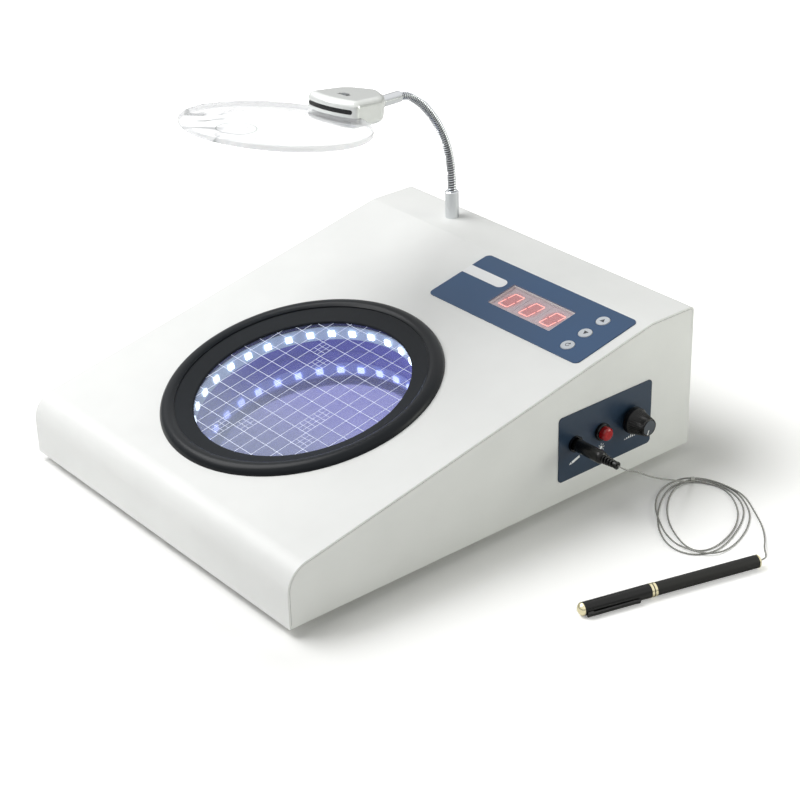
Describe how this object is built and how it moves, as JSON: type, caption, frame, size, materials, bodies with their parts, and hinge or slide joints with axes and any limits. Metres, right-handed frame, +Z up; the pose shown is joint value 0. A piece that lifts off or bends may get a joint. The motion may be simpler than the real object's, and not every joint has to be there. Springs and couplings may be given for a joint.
{
  "type": "colony counter",
  "caption": "Sloped bench instrument for counting colonies: lit, gridded dish stage, display with keys, counting pen on a cord and a magnifier on a gooseneck.",
  "frame": {"origin": "middle of the footprint of the housing and its pen, on the surface they stand on", "axes": "+X to the right, towards the pen; +Y to the rear; +Z up"},
  "size_m": [0.4256, 0.3446, 0.2459],
  "materials": {
    "white_steel": "satin powder coat",
    "black_rubber": "matte",
    "zinc_steel": "satin",
    "brass": "satin",
    "black_plastic": "semi-gloss",
    "clear_glass": "clear, printed grid",
    "dark_enamel": "gloss",
    "circuit_board": "solder mask",
    "led_white": "lit",
    "dark_mirror": "dark mirror",
    "blue_film": "satin film",
    "smoked_window": "clear film",
    "module_plastic": "matte",
    "key_silver": "satin",
    "red_plastic": "gloss",
    "chrome": "polished",
    "satin_silver": "satin silver paint",
    "clear_acrylic": "clear",
    "grey_cord": "braided",
    "pen_black": "satin lacquer",
    "gold": "polished"
  },
  "bodies": {
    "root": {"top_cover": "white_steel", "chassis_tray": "white_steel", "back_panel": "white_steel", "feet": "black_rubber", "screws": "zinc_steel", "standoffs": "brass", "dish_ring": "black_plastic", "grid_glass": "clear_glass", "light_well": "dark_enamel", "led_strip": "circuit_board", "leds": "led_white", "mirror_plate": "dark_mirror", "display_overlay": "blue_film", "display_window": "smoked_window", "display_board": "circuit_board", "digit_modules": "module_plastic", "key_switches": "black_plastic", "side_overlay": "blue_film", "jack_socket": "black_plastic", "mounting_nuts": "black_plastic", "button_body": "black_plastic", "pot_body": "zinc_steel", "power_inlet": "black_plastic", "rocker_body": "black_plastic", "power_supply": "circuit_board", "main_board": "circuit_board"},
    "key_up": {"key_up": "key_silver"},
    "key_down": {"key_down": "key_silver"},
    "key_reset": {"key_reset": "key_silver"},
    "light_button": {"button_cap": "red_plastic"},
    "brightness_knob": {"pot_shaft": "brass", "knob": "black_plastic"},
    "power_rocker": {"rocker": "black_plastic"},
    "fuse_drawer": {"fuse_drawer": "black_plastic"},
    "neck_foot": {"neck_foot": "chrome", "neck_link_1": "chrome"},
    "neck_2": {"neck_link_2": "chrome"},
    "neck_3": {"neck_link_3": "chrome"},
    "neck_4": {"neck_link_4": "chrome"},
    "neck_5": {"neck_link_5": "chrome"},
    "neck_6": {"neck_link_6": "chrome"},
    "neck_7": {"neck_link_7": "chrome"},
    "neck_8": {"neck_link_8": "chrome"},
    "magnifier": {"neck_tip": "chrome", "head_upper": "satin_silver", "head_lower": "satin_silver", "lens": "clear_acrylic", "lamp_window": "black_plastic"},
    "lamp_switch": {"head_switch": "satin_silver"},
    "pen_lead": {"plug_handle": "black_plastic", "plug_pin": "chrome", "cord_lead": "grey_cord", "cord_coil": "grey_cord", "cord_tail": "grey_cord", "pen_barrel": "pen_black", "barrel_ring": "gold"},
    "pen_cap": {"pen_cap": "pen_black", "cap_trims": "gold", "pen_clip": "pen_black"},
    "pen_tip": {"pen_tip": "gold"}
  },
  "joints": [
    {"name": "key_up_press", "type": "slide", "parent": "root", "child": "key_up", "axis": [0, 0.2096, -0.9778], "range_m": [0, 0.0004], "stiffness_N_per_m": 800, "springref_m": -0.0005},
    {"name": "key_down_press", "type": "slide", "parent": "root", "child": "key_down", "axis": [0, 0.2096, -0.9778], "range_m": [0, 0.0004], "stiffness_N_per_m": 800, "springref_m": -0.0005},
    {"name": "key_reset_press", "type": "slide", "parent": "root", "child": "key_reset", "axis": [0, 0.2096, -0.9778], "range_m": [0, 0.0004], "stiffness_N_per_m": 800, "springref_m": -0.0005},
    {"name": "light_button_press", "type": "slide", "parent": "root", "child": "light_button", "axis": [-1, 0, 0], "range_m": [0, 0.002], "stiffness_N_per_m": 1200, "springref_m": -0.001},
    {"name": "brightness_turn", "type": "hinge", "parent": "root", "child": "brightness_knob", "pos_m": [0.08012, 0.1117, 0.0458], "axis": [1, 0, 0], "range_deg": [-140, 140]},
    {"name": "power_rocker_tip", "type": "hinge", "parent": "root", "child": "power_rocker", "pos_m": [-0.00578, 0.1664, 0.04], "axis": [1, 0, 0], "range_deg": [0, 10]},
    {"name": "fuse_drawer_slide", "type": "slide", "parent": "root", "child": "fuse_drawer", "axis": [0, 1, 0], "range_m": [0, 0.012]},
    {"name": "neck_swivel", "type": "hinge", "parent": "root", "child": "neck_foot", "pos_m": [-0.14648, 0.1507, 0.11], "axis": [0, 0, 1], "range_deg": [-60, 60]},
    {"name": "lower_bend_1", "type": "hinge", "parent": "neck_foot", "child": "neck_2", "pos_m": [-0.14641, 0.15022, 0.14429], "axis": [0.9903, 0.1392, 0], "range_deg": [-6, 3]},
    {"name": "lower_bend_2", "type": "hinge", "parent": "neck_2", "child": "neck_3", "pos_m": [-0.14612, 0.14815, 0.15791], "axis": [0.9903, 0.1392, 0], "range_deg": [-6, 3]},
    {"name": "lower_bend_3", "type": "hinge", "parent": "neck_3", "child": "neck_4", "pos_m": [-0.14552, 0.14387, 0.171], "axis": [0.9903, 0.1392, 0], "range_deg": [-6, 3]},
    {"name": "lower_bend_4", "type": "hinge", "parent": "neck_4", "child": "neck_5", "pos_m": [-0.14465, 0.13767, 0.18329], "axis": [0.9903, 0.1392, 0], "range_deg": [-6, 3]},
    {"name": "upper_bend_1", "type": "hinge", "parent": "neck_5", "child": "neck_6", "pos_m": [-0.14356, 0.12989, 0.19462], "axis": [0.9903, 0.1392, 0], "range_deg": [-6, 4]},
    {"name": "upper_bend_2", "type": "hinge", "parent": "neck_6", "child": "neck_7", "pos_m": [-0.14227, 0.12075, 0.20487], "axis": [0.9903, 0.1392, 0], "range_deg": [-6, 4]},
    {"name": "upper_bend_3", "type": "hinge", "parent": "neck_7", "child": "neck_8", "pos_m": [-0.14077, 0.11008, 0.21344], "axis": [0.9903, 0.1392, 0], "range_deg": [-6, 4]},
    {"name": "upper_bend_4", "type": "hinge", "parent": "neck_8", "child": "magnifier", "pos_m": [-0.13896, 0.09722, 0.21766], "axis": [0.9903, 0.1392, 0], "range_deg": [-6, 4]},
    {"name": "lamp_switch_slide", "type": "slide", "parent": "magnifier", "child": "lamp_switch", "axis": [-0.9806, -0.1959, 0], "range_m": [0, 0.003]},
    {"name": "plug_pull", "type": "slide", "parent": "root", "child": "pen_lead", "axis": [1, 0, 0], "range_m": [0, 0.02]},
    {"name": "pen_cap_pull", "type": "slide", "parent": "pen_lead", "child": "pen_cap", "axis": [-0.2773, -0.9608, 0], "range_m": [0, 0.045]},
    {"name": "pen_tip_press", "type": "slide", "parent": "pen_lead", "child": "pen_tip", "axis": [0.2773, 0.9608, 0], "range_m": [0, 0.001], "stiffness_N_per_m": 400, "springref_m": -0.0005}
  ]
}
